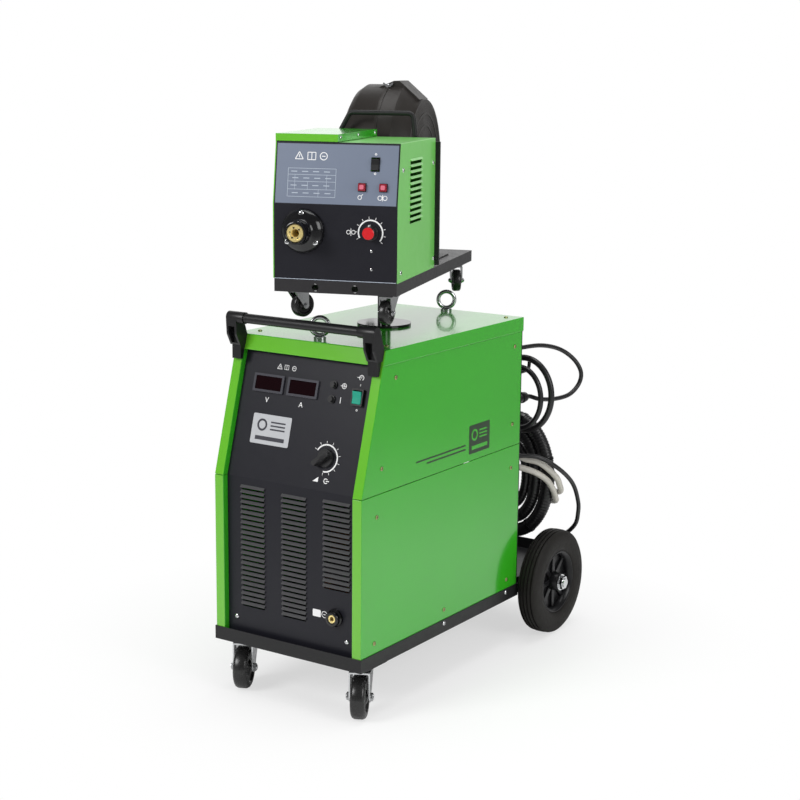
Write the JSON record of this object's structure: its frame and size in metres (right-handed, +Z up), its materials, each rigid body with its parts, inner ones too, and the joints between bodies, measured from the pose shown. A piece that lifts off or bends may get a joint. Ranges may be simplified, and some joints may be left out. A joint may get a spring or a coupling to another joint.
{
  "type": "mig welder on cart",
  "caption": "Wheeled MIG welding power source with a swivelling wire feeder on top, push handle, rear wheels, front castors and stowed cables.",
  "frame": {"origin": "on the floor, under the middle of the machine's overall footprint", "axes": "+Z up, +X to the right when facing the control panel, +Y from the control panel towards the rear wheels"},
  "size_m": [0.505, 0.9196, 1.253],
  "materials": {
    "green_paint": "gloss powder coat",
    "black_paint": "fine-textured powder coat",
    "panel_black": "satin powder coat with printed symbols",
    "black_plastic": "satin moulding",
    "cover_plastic": "fine-grained moulding",
    "socket_black": "gloss moulding over brass",
    "zinc": "bright zinc plate",
    "yellow_zinc": "yellow zinc plate",
    "tyre_rubber": "solid rubber",
    "cable_black": "rubber sheath",
    "cable_grey": "grey sheath",
    "core_steel": "laminated core steel",
    "winding": "varnished winding",
    "heatsink": "extruded aluminium",
    "fan_plastic": "moulding",
    "board": "printed circuit board",
    "teal_plastic": "translucent rocker",
    "red_plastic": "gloss moulding",
    "wire": "copper-coated steel wire"
  },
  "bodies": {
    "cart": {"base_tray": "black_paint", "bottle_platform": "black_paint", "rear_axle": "zinc", "front_panel": "panel_black", "lower_side_left": "green_paint", "lower_side_right": "green_paint", "upper_side_left": "green_paint", "upper_side_right": "green_paint", "top_cover": "green_paint", "rear_panel": "black_paint", "eye_bolts": "zinc", "swivel_pedestal": "black_paint", "push_handle": "black_plastic", "panel_screws": "yellow_zinc", "panel_meters": "black_plastic", "panel_fittings": "black_plastic", "earth_socket": "socket_black", "iron_cores": "core_steel", "copper_windings": "winding", "rectifier": "heatsink", "fan_motor": "zinc", "control_board": "board", "bottle_bracket": "black_paint", "cable_glands": "black_plastic", "mains_cable": "cable_grey", "interconnect_cables": "cable_black"},
    "feeder": {"feeder_tray": "black_paint", "feeder_case": "green_paint", "feeder_front": "panel_black", "feeder_rear_plate": "black_paint", "feeder_handle": "black_paint", "spool_cover": "cover_plastic", "spool_bracket": "black_paint", "torch_socket": "socket_black", "drive_unit": "core_steel"},
    "castor_left": {"castor_fork_left": "zinc"},
    "castor_left_wheel": {"castor_wheel_left": "tyre_rubber"},
    "castor_right": {"castor_fork_right": "zinc"},
    "castor_right_wheel": {"castor_wheel_right": "tyre_rubber"},
    "rear_wheel_left": {"rear_wheel_left": "tyre_rubber"},
    "rear_wheel_right": {"rear_wheel_right": "tyre_rubber"},
    "feeder_castor_front_left": {"feeder_fork_front_left": "zinc"},
    "feeder_castor_front_left_wheel": {"feeder_wheel_front_left": "tyre_rubber"},
    "feeder_castor_front_right": {"feeder_fork_front_right": "zinc"},
    "feeder_castor_front_right_wheel": {"feeder_wheel_front_right": "tyre_rubber"},
    "feeder_castor_rear_left": {"feeder_fork_rear_left": "zinc"},
    "feeder_castor_rear_left_wheel": {"feeder_wheel_rear_left": "tyre_rubber"},
    "feeder_castor_rear_right": {"feeder_fork_rear_right": "zinc"},
    "feeder_castor_rear_right_wheel": {"feeder_wheel_rear_right": "tyre_rubber"},
    "feeder_door": {"feeder_door": "green_paint"},
    "wire_spool": {"wire_spool": "wire"},
    "drive_roll": {"drive_roll": "core_steel"},
    "pressure_roll": {"pressure_roll": "core_steel"},
    "speed_knob": {"speed_knob": "red_plastic"},
    "gas_button": {"gas_button": "red_plastic"},
    "inch_button": {"inch_button": "red_plastic"},
    "feeder_rocker": {"feeder_rocker": "black_plastic"},
    "voltage_knob": {"voltage_knob": "black_plastic"},
    "power_rocker": {"power_rocker": "teal_plastic"},
    "fan": {"fan_blade": "fan_plastic"}
  },
  "joints": [
    {"name": "castor_swivel_left", "type": "hinge", "parent": "cart", "child": "castor_left", "pos_m": [-0.148, -0.35023, 0.102], "axis": [0, 0, 1], "continuous": true},
    {"name": "castor_roll_left", "type": "hinge", "parent": "castor_left", "child": "castor_left_wheel", "pos_m": [-0.13617, -0.37561, 0.0454], "axis": [0.9063, 0.4226, 0], "continuous": true},
    {"name": "castor_swivel_right", "type": "hinge", "parent": "cart", "child": "castor_right", "pos_m": [0.148, -0.35023, 0.102], "axis": [0, 0, 1], "continuous": true},
    {"name": "castor_roll_right", "type": "hinge", "parent": "castor_right", "child": "castor_right_wheel", "pos_m": [0.16071, -0.37518, 0.0454], "axis": [0.891, 0.454, 0], "continuous": true},
    {"name": "rear_wheel_roll_left", "type": "hinge", "parent": "cart", "child": "rear_wheel_left", "pos_m": [-0.213, 0.31477, 0.12], "axis": [1, 0, 0], "continuous": true},
    {"name": "rear_wheel_roll_right", "type": "hinge", "parent": "cart", "child": "rear_wheel_right", "pos_m": [0.213, 0.31477, 0.12], "axis": [1, 0, 0], "continuous": true},
    {"name": "feeder_swivel", "type": "hinge", "parent": "cart", "child": "feeder", "pos_m": [0, -0.06323, 0.855], "axis": [0, 0, 1], "range_deg": [-63, 27]},
    {"name": "feeder_castor_swivel_front_left", "type": "hinge", "parent": "feeder", "child": "feeder_castor_front_left", "pos_m": [-0.01864, -0.35213, 0.85], "axis": [0, 0, 1], "continuous": true},
    {"name": "feeder_castor_roll_front_left", "type": "hinge", "parent": "feeder_castor_front_left", "child": "feeder_castor_front_left_wheel", "pos_m": [-0.01312, -0.33291, 0.818], "axis": [-0.9613, 0.2756, 0], "continuous": true},
    {"name": "feeder_castor_swivel_front_right", "type": "hinge", "parent": "feeder", "child": "feeder_castor_front_right", "pos_m": [0.17657, -0.29922, 0.85], "axis": [0, 0, 1], "continuous": true},
    {"name": "feeder_castor_roll_front_right", "type": "hinge", "parent": "feeder_castor_front_right", "child": "feeder_castor_front_right_wheel", "pos_m": [0.18004, -0.31892, 0.818], "axis": [0.9848, 0.1736, 0], "continuous": true},
    {"name": "feeder_castor_swivel_rear_left", "type": "hinge", "parent": "feeder", "child": "feeder_castor_rear_left", "pos_m": [-0.16364, 0.12649, 0.85], "axis": [0, 0, 1], "continuous": true},
    {"name": "feeder_castor_roll_rear_left", "type": "hinge", "parent": "feeder_castor_rear_left", "child": "feeder_castor_rear_left_wheel", "pos_m": [-0.17727, 0.14111, 0.818], "axis": [-0.7314, -0.682, 0], "continuous": true},
    {"name": "feeder_castor_swivel_rear_right", "type": "hinge", "parent": "feeder", "child": "feeder_castor_rear_right", "pos_m": [0.02087, 0.18644, 0.85], "axis": [0, 0, 1], "continuous": true},
    {"name": "feeder_castor_roll_rear_right", "type": "hinge", "parent": "feeder_castor_rear_right", "child": "feeder_castor_rear_right_wheel", "pos_m": [0.03318, 0.17068, 0.818], "axis": [0.788, 0.6157, 0], "continuous": true},
    {"name": "feeder_door_hinge", "type": "hinge", "parent": "feeder", "child": "feeder_door", "pos_m": [0.05902, -0.24488, 1.1576], "axis": [-0.309, 0.9511, 0], "range_deg": [0, 100]},
    {"name": "wire_spool_turn", "type": "hinge", "parent": "feeder", "child": "wire_spool", "pos_m": [-0.05774, 0.03682, 1.08], "axis": [0.9511, 0.309, 0], "continuous": true},
    {"name": "drive_roll_turn", "type": "hinge", "parent": "feeder", "child": "drive_roll", "pos_m": [0.00372, -0.28178, 0.9535], "axis": [0.9511, 0.309, 0], "continuous": true},
    {"name": "pressure_roll_turn", "type": "hinge", "parent": "feeder", "child": "pressure_roll", "pos_m": [0.00372, -0.28178, 0.9945], "axis": [0.9511, 0.309, 0], "continuous": true},
    {"name": "speed_knob_turn", "type": "hinge", "parent": "feeder", "child": "speed_knob", "pos_m": [0.17228, -0.3637, 0.975], "axis": [0.309, -0.9511, 0], "range_deg": [-270, 0]},
    {"name": "gas_button_press", "type": "slide", "parent": "feeder", "child": "gas_button", "axis": [-0.3051, 0.9391, -0.158], "range_m": [0, 0.003]},
    {"name": "inch_button_press", "type": "slide", "parent": "feeder", "child": "inch_button", "axis": [-0.3051, 0.9391, -0.158], "range_m": [0, 0.003]},
    {"name": "feeder_rocker_tilt", "type": "hinge", "parent": "feeder", "child": "feeder_rocker", "pos_m": [0.17366, -0.35013, 1.103], "axis": [0.9511, 0.309, 0], "range_deg": [-16, 0]},
    {"name": "voltage_knob_turn", "type": "hinge", "parent": "cart", "child": "voltage_knob", "pos_m": [0.076, -0.37472, 0.524], "axis": [0, -0.9635, 0.2678], "range_deg": [-270, 0]},
    {"name": "power_rocker_tilt", "type": "hinge", "parent": "cart", "child": "power_rocker", "pos_m": [0.13, -0.34341, 0.6478], "axis": [1, 0, 0], "range_deg": [-16, 0]},
    {"name": "fan_turn", "type": "hinge", "parent": "cart", "child": "fan", "pos_m": [0, 0.14477, 0.365], "axis": [0, -1, 0], "continuous": true}
  ],
  "couplings": [
    {"joint": "pressure_roll_turn", "follows": "drive_roll_turn", "ratio": -1}
  ]
}
